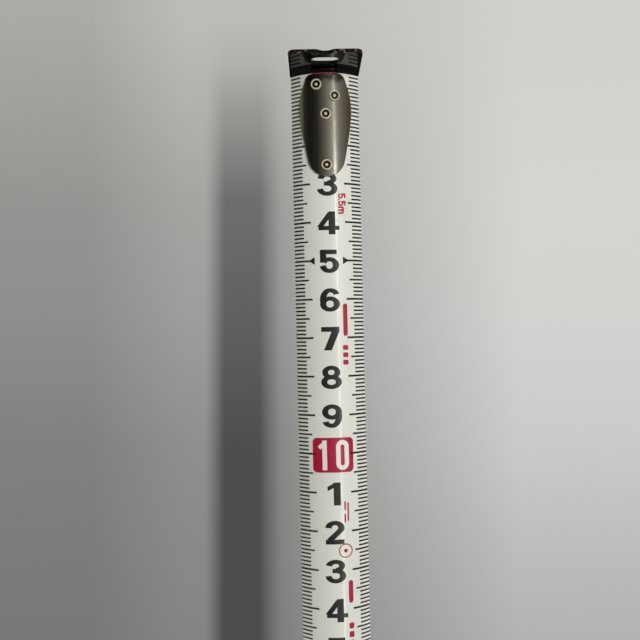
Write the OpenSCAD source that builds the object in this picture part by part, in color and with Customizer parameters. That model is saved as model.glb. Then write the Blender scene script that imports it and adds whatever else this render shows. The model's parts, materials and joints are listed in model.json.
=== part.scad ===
// Pocket tape measure: a 19 mm steel blade on a spring reel, in a two-shell case with a thumb lock.
// +X is the way the blade runs out, +Y the belt-clip side, +Z up. The origin is in the plane that the
// case stands on, straight below the reel's axis. The blade stands drawn out, with the lock on.

/* [Blade] */
// Flat width of the blade
blade_w = 19; // [16:0.5:22]
// Thickness of the coated blade
blade_t = 0.15; // [0.12:0.01:0.18]
// Radius of the blade's curved cross-section, on its convex face
blade_r = 14.4; // [13:0.1:18]
// Whole length of the blade
blade_len = 5500; // [3500:100:6000]
// Reading at the case's mouth as the blade stands
reach = 178; // [120:1:220]

/* [End hook] */
// Thickness of the hook's sheet
hook_t = 0.9; // [0.7:0.05:1.1]
// Drop of the lip below the blade's lowest line
lip_drop = 9.45; // [8:0.05:12]
// Height of the lip's ears above the blade's lowest line
ear_h = 6.8; // [5:0.1:8]
// Width of the lip
lip_w = 18.6; // [15:0.1:22]
// Length of the nail slot in the lip
nail_slot_l = 7.4; // [5:0.1:9]
// Height of the nail slot in the lip
nail_slot_h = 4.1; // [3:0.1:5]
// Thickness of the backing plate under the blade
plate_t = 0.5; // [0.4:0.05:0.6]
// Radius of a rivet's head
rivet_r = 1.4; // [1.2:0.05:1.6]

/* [Reel] */
// Outer radius of the reel's drum
drum_r = 18.5; // [15:0.5:22]
// Wall of the drum
drum_wall = 1.4; // [1:0.1:2]
// Radius of the fixed post
post_r = 4; // [3.6:0.1:5]
// Turns of the power spring
spring_turns = 14; // [8:1:18]

/* [Case] */
// Wall of the two shells
wall_t = 2.4; // [2:0.1:3]
// Height of the rubber side grips above the shells
grip_t = 1.4; // [1:0.1:2]
// Lean of the front face behind the lock button, in degrees
front_lean = 11; // [9:1:13]
// Travel of the lock button
lock_travel = 5; // [3:0.5:6]
// Gap between the belt clip and the side grip
clip_gap = 4.4; // [4.2:0.1:6]
// Width of the belt clip
clip_w = 15; // [12:0.5:18]
// Radius of the blank badge
badge_r = 17; // [12:0.5:20]

/* [Hidden] */
$fn = 64;

// Clearances
touch = 0.02;       // between pieces that are fixed together
slide_gap = 0.3;    // between pieces that slide past each other
run_gap = 0.06;     // radial, reel on post
blade_gap = 0.04;   // between the blade and what bears on it

// Heights, from the standing plane up
lip_clear = 1.5;
blade_z = lip_clear + lip_drop;              // lowest line of the blade's convex face
arc_z = blade_z + blade_r;                   // axis of the blade's cross-section
half_arc = blade_w / 2 / blade_r * 180 / PI; // half of the cross-section's angle
lead_rise = 1.15;                            // rise of the blade from the throat to the coil
coil_packing = 0.9;
coil_len = blade_len - reach;
coil_r = sqrt(drum_r * drum_r + coil_len * blade_t / (PI * coil_packing));
reel_z = blade_z + blade_t + lead_rise + coil_r;

// Reel
flange_t = 0.8;
flange_r = coil_r + 1;
reel_in = blade_w / 2 + slide_gap;           // inner face of each flange
disc_t = 0.3;
disc_r = flange_r - 2;
inner_y = reel_in + flange_t + slide_gap + disc_t;   // inner face of each shell's side
hub_wall = 1.4;
spring_t = 0.2;
spring_y = reel_in - 1.8;                    // half width of the power spring
cover_lip = 1.2;
post_key = 5;
post_key_l = 1;
clip_screw_r = 1.5;
clip_screw_l = 12;

// Case
cavity_r = flange_r + 1.4;
side_y = inner_y + wall_t;
foot = 0.6;                                  // the base shoe stands this far proud
rear_x = -(cavity_r + wall_t + 2.2);
front_x = cavity_r + 10.6;
top_z = reel_z + cavity_r + wall_t + 1.2;
nose_z = blade_z + 12.8;
brow_x = front_x - (top_z - nose_z) * tan(front_lean);
// Corners of the side profile as [x, z, radius], anticlockwise from the rear heel
PROFILE = [[rear_x, foot, 9], [front_x, foot, 3], [front_x, nose_z, 5], [brow_x, top_z, 17],
    [rear_x, top_z, 20]];
corner_steps = 10;
// Rounding of the shells' edges as [distance in from the side face, inset of the profile]
EDGE = [[3.2, 0], [1.9, 0.28], [0.9, 0.95], [0.28, 1.9], [0, 3.2]];

// Hook: distances along the blade are measured back from the zero mark
zero_x = front_x + reach;
blade_end = 1.25;
plate_start = 1.5;
plate_end = 28.2;
waist = 10.8;                                // where the plate is widest
waist_w = 6.9;                               // half width there
neck_w = 3.5;                                // half width of the neck and of the plate's flat end
hook_float = 0.45;                           // each way from rest
leg_inset = 0.5;                             // the leg on top is this much smaller than the plate
RIVETS = [[4.4, -2.2], [7.4, 2.3], [12.1, 0], [25.3, 0]];   // [distance from zero, place on the arc]
shank_r = 0.75;
rivet_head = 0.5;
rivet_tail = 0.4;
tail_gap = 0.1;                              // the hook slides under the rivets' tails
plate_r = blade_r + touch;                   // inner radius of the plate, from the section's axis
leg_r = blade_r - blade_t - touch;           // outer radius of the leg
ear_w = 4.6;                                 // half of the gap between the ears
bridge_h = 3.9;                              // top of the lip between the ears, over the blade's lowest line
lip_round = 1.4;
nail_slot_drop = 2.4;                        // from the blade's lowest line to the nail slot
notch_w = 1.6;
notch_d = 0.85;

// Throat
floor_t = 1.4;
floor_z = blade_z - 2.8;
mouth_top = blade_z + 5;
mouth_y = blade_w / 2 + 0.2;
guide_l = 14;
guide_floor = 1.1;
plate_way = waist_w + 0.5;                   // half width kept free for the hook and its plate
way_top = blade_z + 3.4;                     // height kept free for the hook's leg
lead_x = front_x - guide_l - 2;              // the blade is flat at the reel and curved from here on
lead_steps = 10;
blade_facets = 20;

// Bosses and screws
boss_r = 2.9;
screw_r = 1.25;
screw_head_r = 2.2;
screw_head_t = 1.2;
screw_tip = 3;                               // the screws end this far inside the left side face
boss_d = cavity_r + boss_r + 0.5;
BOSSES = [[rear_x + 14, foot + 5.7], [front_x - 8, foot + 4.4],
    [boss_d * cos(50), reel_z + boss_d * sin(50)], [boss_d * cos(135), reel_z + boss_d * sin(135)]];

// Strap notch at the rear heel
strap_y = 5;
strap_wall = 1.6;
strap_x = rear_x + 9.2;
strap_top = foot + 12.4;
strap_pin_r = 1.4;
strap_pin_x = rear_x + 3.5;
strap_pin_z = foot + 6.9;
strap_pin_y = side_y - 3.6;

// Grips, badge and base shoe
opening_r = 21.5;
grip_edge = 3.6;
screw_window = screw_head_r + 0.5;
badge_t = 1.2;
badge_sink = 0.6;
band_y = 8;
band_in = 1.2;
band_out = 0.4;
band_x = 20;
band_z = 18;
shoe_sink = 0.6;
shoe_back = rear_x + 16;
shoe_front = front_x - 8;
shoe_half = 9;

// Bumper under the mouth
bump_in = 1.2;
bump_out = 1.45;
bump_y = 8;
bump_low = foot + 2.2;
bump_top = floor_z - 0.9;

// Belt clip
clip_t = 1;
clip_low = reel_z - 5.5;
clip_top = reel_z + 20.5;
clip_tip = 16;
clip_flare = 2.5;
clip_bend = (grip_t + clip_gap + clip_t) / 2;
clip_head_r = 3;
clip_head_t = 1.4;

// Lock, in a frame at the nose corner with X out of the leaning face and Z up along it
button_low = 2.5;
button_top = 17.5;
button_h = 4;
button_y = 7;
neck_low = 7;
neck_top = 11;
neck_y = 3;
neck_out = 1.6;
bar_out = -(wall_t + slide_gap);
bar_in = bar_out - 2.2;
bar_low = 0.5;
bar_top = 14;
carrier_y = 6.5;
leaf_t = 0.3;
leaf_y = 2.5;
leaf_low = 9;
leaf_top = 16;
rib_t = 1.4;
shoe_x = front_x - 9;
shoe_l = 4;
shoe_z = blade_z + 7.3;
brake_y = blade_w / 2 - 0.9;

// ---- geometry helpers ----
function unit(v) = v / norm(v);
function turn(v) = [v[1], -v[0]];                       // outwards, going anticlockwise
function flat(p) = [p[0], p[1]];
// Corner i of a profile moved in by w, with its radius less w
function inset_corner(p, i, w) = let (n = len(p), a = flat(p[(i + n - 1) % n]), b = flat(p[i]),
    c = flat(p[(i + 1) % n]), u = turn(unit(b - a)), v = turn(unit(c - b)), m = (u + v) / (1 + u * v))
    [b[0] - w * m[0], b[1] - w * m[1], max(p[i][2] - w, 0.4)];
// Points of the arc that rounds corner b between a and c
function fillet(a, b, c, r) = let (u = unit(a - b), v = unit(c - b), half = acos(u * v) / 2,
    o = b + unit(u + v) * r / sin(half), t = b + u * r / tan(half) - o, s = atan2(t[1], t[0]),
    sweep = 180 - 2 * half)
    [for (k = [0:corner_steps]) o + r * [cos(s + sweep * k / corner_steps),
        sin(s + sweep * k / corner_steps)]];
// The rounded side profile, moved in by w
function outline(w) = let (n = len(PROFILE), q = [for (i = [0:n - 1]) inset_corner(PROFILE, i, w)])
    [for (i = [0:n - 1]) each fillet(flat(q[(i + n - 1) % n]), flat(q[i]), flat(q[(i + 1) % n]), q[i][2])];
function bezier(a, b, c, d, steps) = [for (k = [0:steps]) let (t = k / steps, s = 1 - t)
    s * s * s * a + 3 * s * s * t * b + 3 * s * t * t * c + t * t * t * d];
// Half outline of the plate as [distance from zero, half width], smaller all round by e
function plate_side(e) = [
    each bezier([plate_start, neck_w], [plate_start + 0.1, neck_w + 1.4 - e], [plate_start + 0.9,
        neck_w + 1.8 - e],
        [plate_start + 1.8, neck_w + 2.05 - e], 5),
    each bezier([plate_start + 1.9, neck_w + 2.1 - e], [plate_start + 3.8, neck_w + 2.7 - e],
        [waist - 3, waist_w - e], [waist, waist_w - e], 6),
    each bezier([waist + 0.1, waist_w - e], [waist + 3.8, waist_w - e], [20, waist_w - 1.25 - e],
        [24, waist_w - 2.05 - e], 6),
    each bezier([24.1, waist_w - 2.1 - e], [26, waist_w - 2.5 - e], [plate_end - e, waist_w - 4.1 - e],
        [plate_end - e, 0.3], 6)];
// A flat length on the arc, as seen from straight below
function chord(s) = blade_r * sin(s / blade_r * 180 / PI);

// ---- shared shapes ----
module along_x(x0, x1) { translate([x0, 0, 0]) rotate([90, 0, 90]) linear_extrude(x1 - x0) children(); }
module along_y(y0, y1) { translate([0, y1, 0]) rotate([90, 0, 0]) linear_extrude(y1 - y0) children(); }
module box(x, y, z) { translate([x[0], y[0], z[0]]) cube([x[1] - x[0], y[1] - y[0], z[1] - z[0]]); }
module rod(x, z, r, y0, y1) { translate([x, y1, z]) rotate([90, 0, 0]) cylinder(r = r, h = y1 - y0); }
module lock_frame() { translate([front_x, 0, nose_z]) rotate([0, -front_lean, 0]) children(); }
// Part of the blade's cross-section between two radii, to an angle either side of its lowest line
module arc_band(r_out, r_in, half) {
    translate([0, arc_z]) intersection() {
        difference() {
            circle(r = r_out);
            circle(r = r_in);
        }
        polygon([[0, 0], [-3 * r_out * sin(half), -3 * r_out * cos(half)],
            [3 * r_out * sin(half), -3 * r_out * cos(half)]]);
    }
}
// Places its children at a rivet, on the section's axis with +Z outwards through the convex face
module at_rivet(p) {
    translate([zero_x - p[0], 0, arc_z]) rotate([180 - p[1] / blade_r * 180 / PI, 0, 0]) children();
}
// Solid through outlines [x, z] at given y, each with the same number of points
module loft(ys, outlines) {
    n = len(outlines[0]);
    m = len(ys);
    points = [for (i = [0:m - 1]) for (q = outlines[i]) [q[0], ys[i], q[1]]];
    sides = [for (i = [0:m - 2]) for (j = [0:n - 1]) let (k = (j + 1) % n)
        each [[i * n + j, i * n + k, (i + 1) * n + k], [i * n + j, (i + 1) * n + k, (i + 1) * n + j]]];
    polyhedron(points, concat(sides, [[for (j = [n - 1:-1:0]) j]],
        [[for (j = [0:n - 1]) (m - 1) * n + j]]));
}

// ---- case ----
// Outside of the half case on the +Y side
module half_body() {
    ys = concat([0], [for (e = EDGE) side_y - e[0]]);
    loft(ys, [for (w = concat([0], [for (e = EDGE) e[1]])) outline(w)]);
}
module rear_notch(wall, y) {
    box([rear_x - 1, strap_x + wall], [-1, y + wall], [-1, strap_top + wall]);
}
// Half case on the +Y side, with what both shells share
module half_shell() {
    difference() {
        union() {
            difference() {
                half_body();
                along_y(-1, inner_y) polygon(outline(wall_t));
            }
            intersection() {
                union() {
                    for (b = BOSSES) rod(b[0], b[1], boss_r, 0, side_y - 1);
                    box([lead_x, front_x - 0.5], [0, side_y - 1], [floor_z - floor_t, floor_z]);
                    box([lead_x, front_x - 0.5], [mouth_y, side_y - 1], [floor_z - floor_t, mouth_top]);
                    rear_notch(strap_wall, strap_y);
                    lock_frame() box([bar_in - leaf_t - touch - rib_t, bar_in - leaf_t - touch],
                        [-1, side_y - 1], [leaf_low, leaf_top]);
                }
                box([rear_x - 1, front_x + 1], [0, side_y + 1], [0, top_z + 1]);
                along_y(-1, side_y + 1) polygon(outline(1));
            }
        }
        rear_notch(0, strap_y);
        box([lead_x - 1, front_x + 1], [-1, mouth_y], [floor_z, mouth_top]);
        rod(0, reel_z, cavity_r, -1, inner_y);
        lock_frame() box([bar_out - 1, 1], [-1, neck_y + slide_gap],
            [neck_low - slide_gap, neck_top + lock_travel + slide_gap]);
        rod(strap_pin_x, strap_pin_z, strap_pin_r + touch, -1, strap_pin_y + touch);
        translate([0, inner_y + (post_key_l + touch) / 2 - 0.5, reel_z])
            cube([post_key + 2 * touch, post_key_l + touch + 1, post_key + 2 * touch], center = true);
        box([shoe_back - touch, shoe_front + touch], [-1, shoe_half + touch], [-1,
            foot + shoe_sink + touch]);
        box([front_x - bump_in - touch, front_x + 1], [-1, bump_y + touch], [bump_low - touch,
            bump_top + touch]);
        along_y(-1, band_y + touch) band_path(touch);
    }
}
// Path of the rubber band over the back and top, as a flat ring
module band_path(gap) {
    intersection() {
        difference() {
            polygon(outline(-band_out - 1));
            polygon(outline(band_in + gap));
        }
        translate([rear_x - 5, band_z - gap]) square([band_x + gap - rear_x + 5, top_z]);
    }
}
module case_shell_right() {
    color("dimgray") difference() {
        mirror([0, 1, 0]) half_shell();
        for (b = BOSSES) {
            rod(b[0], b[1], screw_r + 0.15, -side_y - 1, 1);
            rod(b[0], b[1], screw_head_r + 0.1, -side_y - 1, -side_y + screw_head_t + 0.4);
        }
        rod(0, reel_z, badge_r + touch, -side_y - 1, -side_y + badge_sink + touch);
    }
}
module case_shell_left() {
    color("dimgray") difference() {
        half_shell();
        for (b = BOSSES) rod(b[0], b[1], screw_r + touch, -1, side_y - screw_tip + 0.5);
        rod(0, reel_z, clip_screw_r + 0.1, 0, side_y + 1);
    }
}
module grip(y0, y1) {
    along_y(y0, y1) difference() {
        polygon(outline(grip_edge));
        translate([0, reel_z]) circle(r = opening_r);
        for (b = BOSSES) translate(b) circle(r = screw_window);
        translate([rear_x - 1, 0]) square([front_x - rear_x + 2, strap_top + strap_wall]);
    }
}
module grip_right() { color("#2b2c2e") grip(-side_y - grip_t, -side_y - touch); }
module grip_left() { color("#2b2c2e") grip(side_y + touch, side_y + grip_t); }
module grip_band() {
    color("#2b2c2e") along_y(-band_y, band_y) intersection() {
        difference() {
            polygon(outline(-band_out));
            polygon(outline(band_in));
        }
        translate([rear_x - 5, band_z]) square([band_x - rear_x + 5, top_z]);
    }
}
module badge() {
    color("silver") rod(0, reel_z, badge_r, -side_y + badge_sink - badge_t, -side_y + badge_sink);
}
module base_shoe() {
    color("#26272a") box([shoe_back, shoe_front], [-shoe_half, shoe_half], [0, foot + shoe_sink]);
}
module case_screws() {
    head_y = -side_y + screw_head_t + 0.4;
    color("#9a9da1") for (b = BOSSES) difference() {
        union() {
            rod(b[0], b[1], screw_r, head_y - 0.1, side_y - screw_tip);
            rod(b[0], b[1], screw_head_r, head_y - screw_head_t - touch, head_y - touch);
        }
        for (a = [0, 90]) translate([b[0], head_y - screw_head_t, b[1]]) rotate([0, a, 0])
            cube([2.6, 1.2, 0.6], center = true);
    }
}
module belt_clip() {
    bend_z = clip_top - clip_bend;
    mid_y = side_y + touch + clip_bend;
    color("#b9bcc0") difference() {
        along_x(-clip_w / 2, clip_w / 2) {
            translate([side_y + touch, clip_low]) square([clip_t, bend_z - clip_low]);
            translate([mid_y, bend_z]) intersection() {
                difference() {
                    circle(r = clip_bend);
                    circle(r = clip_bend - clip_t);
                }
                translate([-2 * clip_bend, 0]) square(4 * clip_bend);
            }
            translate([mid_y + clip_bend - clip_t, clip_tip + clip_flare])
                square([clip_t, bend_z - clip_tip - clip_flare]);
            translate([mid_y + clip_bend + clip_flare, clip_tip + clip_flare]) intersection() {
                difference() {
                    circle(r = clip_flare + clip_t);
                    circle(r = clip_flare);
                }
                rotate(180) square(2 * clip_flare + 2);
                translate([-2 * clip_flare - clip_t, -clip_flare * 0.8]) square([2 * clip_flare + 2, 6]);
            }
        }
        rod(0, reel_z, clip_screw_r + 0.1, side_y - 1, side_y + clip_t + 1);
    }
}
module clip_screw() {
    seat = side_y + clip_t + 2 * touch;
    color("#a5a8ac") difference() {
        union() {
            rod(0, reel_z, clip_screw_r, seat - clip_screw_l, seat + 0.1);
            rod(0, reel_z, clip_head_r, seat, seat + clip_head_t);
        }
        for (a = [0, 90]) translate([0, seat + clip_head_t, reel_z]) rotate([0, a, 0])
            cube([3.4, 1.6, 0.8], center = true);
    }
}
module strap_pin() { color("silver") rod(strap_pin_x, strap_pin_z, strap_pin_r, -strap_pin_y,
    strap_pin_y); }
module reel_post() {
    color("#d8d8d2") difference() {
        union() {
            rod(0, reel_z, post_r, -inner_y + touch, inner_y - touch);
            translate([0, 0, reel_z]) cube([post_key, 2 * (inner_y + post_key_l), post_key], center = true);
        }
        rod(0, reel_z, clip_screw_r + touch, inner_y - clip_screw_l, side_y);
        box([-spring_t, spring_t], [-spring_y - 1, spring_y + 1], [reel_z + 1.8, reel_z + post_r + 1]);
    }
}
module side_disc(y0) {
    difference() {
        rod(0, reel_z, disc_r, y0, y0 + disc_t - touch);
        rod(0, reel_z, post_r + slide_gap, y0 - 1, y0 + 1);
    }
}
module side_disc_right() { color("#e8e4d8") side_disc(-inner_y + touch); }
module side_disc_left() { color("#e8e4d8") side_disc(inner_y - disc_t); }
module mouth_guide() {
    top = arc_z - blade_r * cos(half_arc) - 0.2;
    color("#1c1d1f") along_x(front_x - guide_l, front_x - touch) difference() {
        translate([-mouth_y + touch, floor_z + touch]) square([2 * (mouth_y - touch), top - floor_z]);
        translate([0, arc_z]) circle(r = blade_r + blade_gap);
        translate([-plate_way, floor_z + guide_floor]) square([2 * plate_way, top]);
    }
}
module hook_bumper() {
    color("#2b2c2e") along_x(front_x - bump_in, front_x + bump_out)
        translate([-bump_y, bump_low]) square([2 * bump_y, bump_top - bump_low]);
}

// ---- lock ----
module lock_spring() {
    color("silver") lock_frame()
        box([bar_in - leaf_t - touch / 2, bar_in - touch], [-leaf_y, leaf_y], [leaf_low + 0.5,
            leaf_top - 0.5]);
}
module lock_carrier() {
    foot_back = front_x + bar_in * cos(front_lean) - bar_low * sin(front_lean);
    foot_front = front_x + bar_out * cos(front_lean) - bar_low * sin(front_lean);
    foot_z = nose_z + bar_low * cos(front_lean);
    color("#8d1530") union() {
        lock_frame() {
            box([bar_in, bar_out], [-carrier_y, carrier_y], [bar_low, bar_top]);
            box([bar_out - 0.5, neck_out], [-neck_y, neck_y], [neck_low, neck_top]);
        }
        along_y(-carrier_y, carrier_y) polygon([[shoe_x, shoe_z + touch], [shoe_x + shoe_l, shoe_z + touch],
            [foot_front, foot_z + bar_out * sin(front_lean)], [foot_front - 0.2, foot_z + 1],
            [foot_back + 0.2, foot_z + 1], [foot_back, foot_z + bar_in * sin(front_lean)]]);
    }
}
module lock_button() {
    ridge = 0.7;
    color("#a3183a") lock_frame() difference() {
        union() {
            box([slide_gap, button_h - ridge], [-button_y, button_y], [button_low, button_top]);
            for (k = [0:4]) translate([button_h - ridge, 0, button_low + 3.1 + 2.2 * k]) rotate([90, 0, 0])
                cylinder(r = ridge, h = 2 * button_y - 2.4, center = true);
        }
        box([0, neck_out + touch], [-neck_y - touch, neck_y + touch], [neck_low - touch, neck_top + touch]);
    }
}
module brake_shoe() {
    color("#3a3b3d") along_x(shoe_x, shoe_x + shoe_l) difference() {
        intersection() {
            translate([-brake_y, blade_z]) square([2 * brake_y, shoe_z - blade_z]);
            translate([0, arc_z]) circle(r = blade_r - blade_t - blade_gap);
        }
        translate([-plate_way, blade_z - 1]) square([2 * plate_way, way_top - blade_z + 1]);
    }
}

// ---- reel ----
module reel_drum() {
    bore = post_r + run_gap;
    color("#ece9df") difference() {
        union() {
            rod(0, reel_z, flange_r, -reel_in - flange_t, -reel_in);
            rod(0, reel_z, drum_r - touch, -reel_in - 0.1, reel_in - touch);
        }
        rod(0, reel_z, drum_r - drum_wall, -spring_y - 0.3, reel_in + 1);
        difference() {
            rod(0, reel_z, drum_r - drum_wall, -reel_in, -spring_y);
            rod(0, reel_z, bore + hub_wall, -reel_in - 1, reel_in);
        }
        rod(0, reel_z, bore, -reel_in - 2, reel_in);
    }
}
module reel_cover() {
    bore = post_r + run_gap;
    color("#ece9df") difference() {
        union() {
            rod(0, reel_z, flange_r, reel_in, reel_in + flange_t);
            rod(0, reel_z, bore + hub_wall, spring_y + 0.3, reel_in + 0.1);
            difference() {
                rod(0, reel_z, drum_r - drum_wall - touch, reel_in - cover_lip, reel_in + 0.1);
                rod(0, reel_z, drum_r - drum_wall - 1, reel_in - cover_lip - 1, reel_in);
            }
        }
        rod(0, reel_z, bore, reel_in - 5, reel_in + 2);
    }
}
module blade_coil() {
    color("#d6d8d0") difference() {
        rod(0, reel_z, coil_r, -blade_w / 2, blade_w / 2);
        rod(0, reel_z, drum_r, -blade_w, blade_w);
    }
}
// Spiral from the post's slot out to the drum's wall
module power_spring() {
    steps = spring_turns * 16;
    r0 = post_r + 0.25;
    r1 = drum_r - drum_wall - spring_t - 0.15;
    function ray(k, dr) = (r0 + (r1 - r0) * k / steps + dr) * [cos(90 + 22.5 * k), sin(90 + 22.5 * k)];
    color("#5d6672") along_y(-spring_y, spring_y) translate([0, reel_z]) union() {
        polygon(concat([for (k = [0:steps]) ray(k, spring_t)], [for (k = [steps:-1:0]) ray(k, 0)]));
        translate([-spring_t / 2, 2]) square([spring_t, r0 - 1.9]);
    }
}

// ---- blade and hook ----
// Point of the blade: k = 0 flat at the reel, 1 curved at the throat, and more than 1 at its free end
function blade_point(k, s, up) = let (q = min(k, 1), t = q * q * (3 - 2 * q), a = s / blade_r * 180 / PI)
    [k > 1 ? zero_x - blade_end : lead_x * k, (1 - t) * s + t * (blade_r - up) * sin(a),
    blade_z + (1 - t) * (lead_rise - touch + up) + t * (blade_r - (blade_r - up) * cos(a))];
// The whole strip outside the coil, as rings of points round its thin cross-section
module strip() {
    n = blade_facets + 1;
    row = 2 * n;
    points = [for (i = [0:lead_steps + 1]) each concat(
        [for (j = [0:blade_facets]) blade_point(i / lead_steps, blade_w * (j / blade_facets - 0.5), 0)],
        [for (j = [blade_facets:-1:0]) blade_point(i / lead_steps, blade_w * (j / blade_facets - 0.5),
            blade_t)])];
    sides = [for (i = [0:lead_steps]) for (j = [0:row - 1]) let (k = (j + 1) % row)
        each [[i * row + j, (i + 1) * row + k, i * row + k], [i * row + j, (i + 1) * row + j,
            (i + 1) * row + k]]];
    start = [for (j = [0:n - 2]) each [[j, j + 1, row - 2 - j], [j, row - 2 - j, row - 1 - j]]];
    last = (lead_steps + 1) * row;
    finish = [for (j = [0:n - 2]) each [[last + j, last + row - 2 - j, last + j + 1],
        [last + j, last + row - 1 - j, last + row - 2 - j]]];
    polyhedron(points, concat(sides, start, finish));
}
module blade() {
    color("#cfd2c8") difference() {
        strip();
        for (p = RIVETS) at_rivet(p) cylinder(r = shank_r + touch, h = 2 * blade_r);
    }
}
module plate_plan(e) {
    side = plate_side(e);
    polygon(concat([for (p = side) [zero_x - p[0], chord(p[1])]],
        [for (k = [len(side) - 1:-1:0]) [zero_x - side[k][0], -chord(side[k][1])]]));
}
module backing_plate() {
    color("#6b6960") difference() {
        intersection() {
            along_x(zero_x - plate_end - 1, zero_x) arc_band(plate_r + plate_t, plate_r, half_arc);
            translate([0, 0, blade_z - 5]) linear_extrude(12) plate_plan(0);
        }
        for (p = RIVETS) at_rivet(p) cylinder(r = shank_r + touch, h = 2 * blade_r);
    }
}
module rivets() {
    head = plate_r + plate_t + touch;
    tail = leg_r - hook_t - tail_gap;
    color("#cfc59a") for (p = RIVETS) at_rivet(p) rotate_extrude() polygon([[0, tail - rivet_tail],
        [rivet_r * 0.8, tail - rivet_tail], [rivet_r * 0.85, tail], [shank_r, tail], [shank_r, head],
        [rivet_r, head], [rivet_r, head + rivet_head * 0.5], [rivet_r * 0.82, head + rivet_head],
        [rivet_r * 0.62, head + rivet_head], [rivet_r * 0.5, head + rivet_head * 0.3],
        [rivet_r * 0.28, head + rivet_head * 0.3], [0, head + rivet_head * 0.8]]);
}
module lip_outline() {
    low = blade_z - lip_drop;
    high = blade_z + ear_h;
    bridge = blade_z + bridge_h;
    difference() {
        union() {
            translate([-lip_w / 2 + lip_round, low]) square([lip_w - 2 * lip_round, high - low]);
            translate([-lip_w / 2, low + lip_round]) square([lip_w, high - low - 2 * lip_round]);
            for (y = [-1, 1], z = [low + lip_round, high - lip_round])
                translate([y * (lip_w / 2 - lip_round), z]) circle(r = lip_round);
        }
        translate([-ear_w, bridge]) square([2 * ear_w, high]);
        polygon([[-notch_w - 1, low - 0.01], [-notch_w, low + notch_d * 0.35], [-notch_w * 0.4,
            low + notch_d],
            [notch_w * 0.4, low + notch_d], [notch_w, low + notch_d * 0.35], [notch_w + 1, low - 0.01]]);
        slot_z = blade_z - nail_slot_drop - nail_slot_h / 2;
        translate([0, slot_z]) square([nail_slot_l - nail_slot_h, nail_slot_h], center = true);
        for (y = [-1, 1]) translate([y * (nail_slot_l - nail_slot_h) / 2,
            slot_z]) circle(r = nail_slot_h / 2);
    }
}
module hook() {
    color("#2a2a2c") difference() {
        union() {
            along_x(zero_x, zero_x + hook_t) lip_outline();
            intersection() {
                along_x(zero_x - plate_end - 1, zero_x + hook_t / 2) arc_band(leg_r, leg_r - hook_t,
                    half_arc);
                translate([0, 0, blade_z - 5]) linear_extrude(12) union() {
                    plate_plan(leg_inset);
                    translate([zero_x - plate_start - 1, -neck_w]) square([plate_start + 2, 2 * neck_w]);
                }
            }
        }
        for (p = RIVETS) at_rivet(p) {
            for (x = [-hook_float, hook_float]) translate([x, 0, 0]) cylinder(r = shank_r + touch,
                h = 2 * blade_r);
            translate([-hook_float, -shank_r - touch, 0]) cube([2 * hook_float, 2 * (shank_r + touch),
                2 * blade_r]);
        }
    }
}

case_shell_right();
case_shell_left();
grip_right();
grip_left();
grip_band();
badge();
base_shoe();
case_screws();
belt_clip();
clip_screw();
strap_pin();
reel_post();
side_disc_right();
side_disc_left();
mouth_guide();
hook_bumper();
lock_spring();
lock_button();
lock_carrier();
brake_shoe();
reel_drum();
reel_cover();
blade_coil();
power_spring();
blade();
backing_plate();
rivets();
hook();
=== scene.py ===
"""Looks for the pocket tape measure: the printed blade, its end hook, the case and the studio."""
import json
import math

import bmesh
import bpy
import numpy as np
from bpy.props import FloatProperty, FloatVectorProperty, PointerProperty
from mathutils import Matrix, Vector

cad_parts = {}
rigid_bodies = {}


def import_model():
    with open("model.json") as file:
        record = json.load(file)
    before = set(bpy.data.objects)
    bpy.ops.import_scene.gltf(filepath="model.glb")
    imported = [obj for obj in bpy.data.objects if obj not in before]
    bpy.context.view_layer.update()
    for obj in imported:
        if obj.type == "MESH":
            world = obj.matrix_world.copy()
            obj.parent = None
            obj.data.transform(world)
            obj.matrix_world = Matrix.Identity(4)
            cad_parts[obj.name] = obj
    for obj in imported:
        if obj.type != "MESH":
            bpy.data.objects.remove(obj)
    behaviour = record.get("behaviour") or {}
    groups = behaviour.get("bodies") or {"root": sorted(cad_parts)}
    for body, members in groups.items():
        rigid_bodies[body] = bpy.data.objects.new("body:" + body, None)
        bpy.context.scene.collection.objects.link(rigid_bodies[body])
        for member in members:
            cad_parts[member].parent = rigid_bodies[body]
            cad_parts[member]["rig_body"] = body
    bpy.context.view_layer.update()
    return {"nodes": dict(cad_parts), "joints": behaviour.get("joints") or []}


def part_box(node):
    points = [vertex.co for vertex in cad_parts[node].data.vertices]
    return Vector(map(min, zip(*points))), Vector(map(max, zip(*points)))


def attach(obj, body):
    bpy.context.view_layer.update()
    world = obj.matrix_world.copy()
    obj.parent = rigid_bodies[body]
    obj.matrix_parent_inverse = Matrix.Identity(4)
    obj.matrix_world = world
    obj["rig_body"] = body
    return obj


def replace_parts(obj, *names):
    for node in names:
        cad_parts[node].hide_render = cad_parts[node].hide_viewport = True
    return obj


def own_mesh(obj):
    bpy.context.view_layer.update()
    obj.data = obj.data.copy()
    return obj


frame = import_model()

bl_info = {
    "name": "Pocket tape measure",
    "version": (1, 0, 0),
    "blender": (4, 5, 0),
    "location": "3D View > Sidebar > Tape",
    "description": "Builds the visible pieces and finishes of a pocket tape measure round its frame",
    "category": "Add Mesh",
}

MM = 0.001


def corners(*nodes):
    """Lowest and highest corner of some CAD nodes together, in millimetres."""
    boxes = [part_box(n) for n in nodes]
    low = np.min([np.array(b[0]) for b in boxes], axis=0) / MM
    high = np.max([np.array(b[1]) for b in boxes], axis=0) / MM
    return low, high


def joint(name):
    """One joint's row in the frame."""
    return [j for j in frame["joints"] if j["name"] == name][0]


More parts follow.
